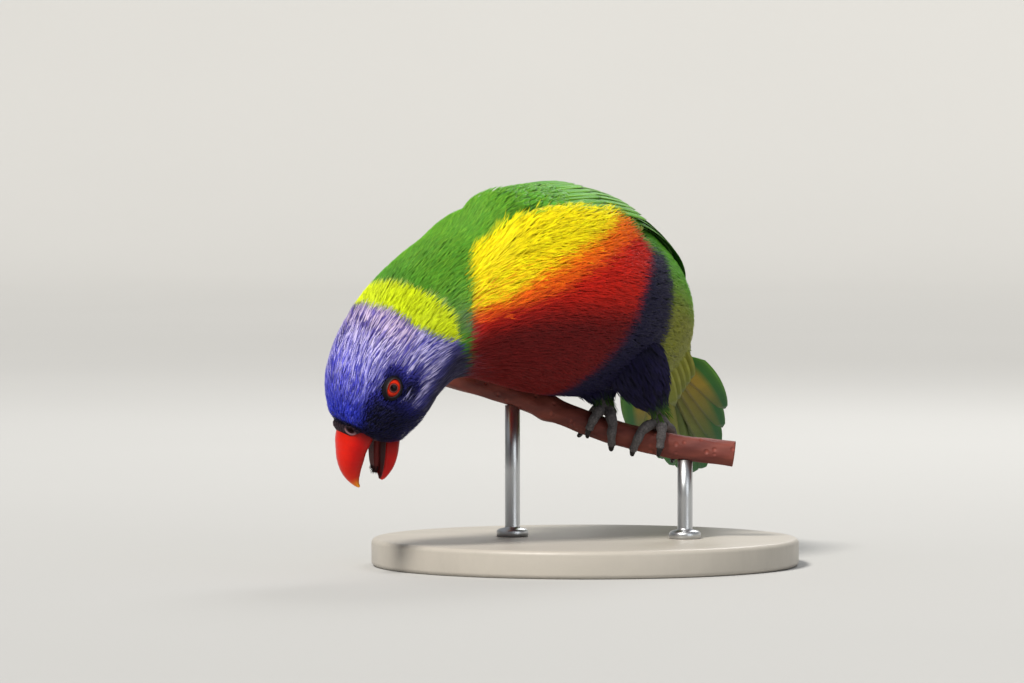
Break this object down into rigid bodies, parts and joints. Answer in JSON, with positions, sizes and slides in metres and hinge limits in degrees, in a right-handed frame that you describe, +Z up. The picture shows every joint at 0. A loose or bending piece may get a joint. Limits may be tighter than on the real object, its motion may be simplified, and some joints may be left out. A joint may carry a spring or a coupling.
{
  "type": "rainbow lorikeet",
  "caption": "Life-size still rainbow lorikeet leaning down from a short cut branch with its bill open, held by rods on a round base.",
  "frame": {"origin": "middle of the underside of the stand's base", "axes": "+Z up; the bird's head is towards -X and -Y, its tail towards +X and +Y, and its left side faces -Y"},
  "size_m": [0.1362, 0.1923, 0.1138],
  "materials": {
    "head_plumage": "violet-blue plumage with pale streaks, fine and matt",
    "neck_plumage": "green plumage with a yellow-green collar, matt",
    "breast_plumage": "yellow, orange and red breast over a navy belly, soft and matt",
    "wing_feathers": "green wing feathers with dark tips, slightly glossy",
    "tail_feathers": "green tail feathers, olive below, slightly glossy",
    "thigh_plumage": "navy and green thigh feathers, soft",
    "feet": "grey scaled skin with dark claws",
    "bill": "orange-red horn with a paler tip, smooth",
    "cere": "dark bare skin with nostrils",
    "tongue": "grey-pink, moist",
    "eyes": "orange-red iris round a dark pupil, wet gloss",
    "perch": "dark red-brown bark, cut ends paler",
    "stand_metal": "satin steel",
    "stand_base": "plain painted wood, satin"
  },
  "bodies": {
    "root": {"head": "head_plumage", "neck": "neck_plumage", "torso": "breast_plumage", "tail": "tail_feathers", "left_wing": "wing_feathers", "right_wing": "wing_feathers", "left_thigh": "thigh_plumage", "right_thigh": "thigh_plumage", "left_foot": "feet", "right_foot": "feet", "upper_bill": "bill", "lower_bill": "bill", "cere": "cere", "tongue": "tongue", "left_eye": "eyes", "right_eye": "eyes", "stand_perch": "perch", "stand_base": "stand_base", "stand_rod_1": "stand_metal", "stand_rod_2": "stand_metal"}
  },
  "joints": []
}
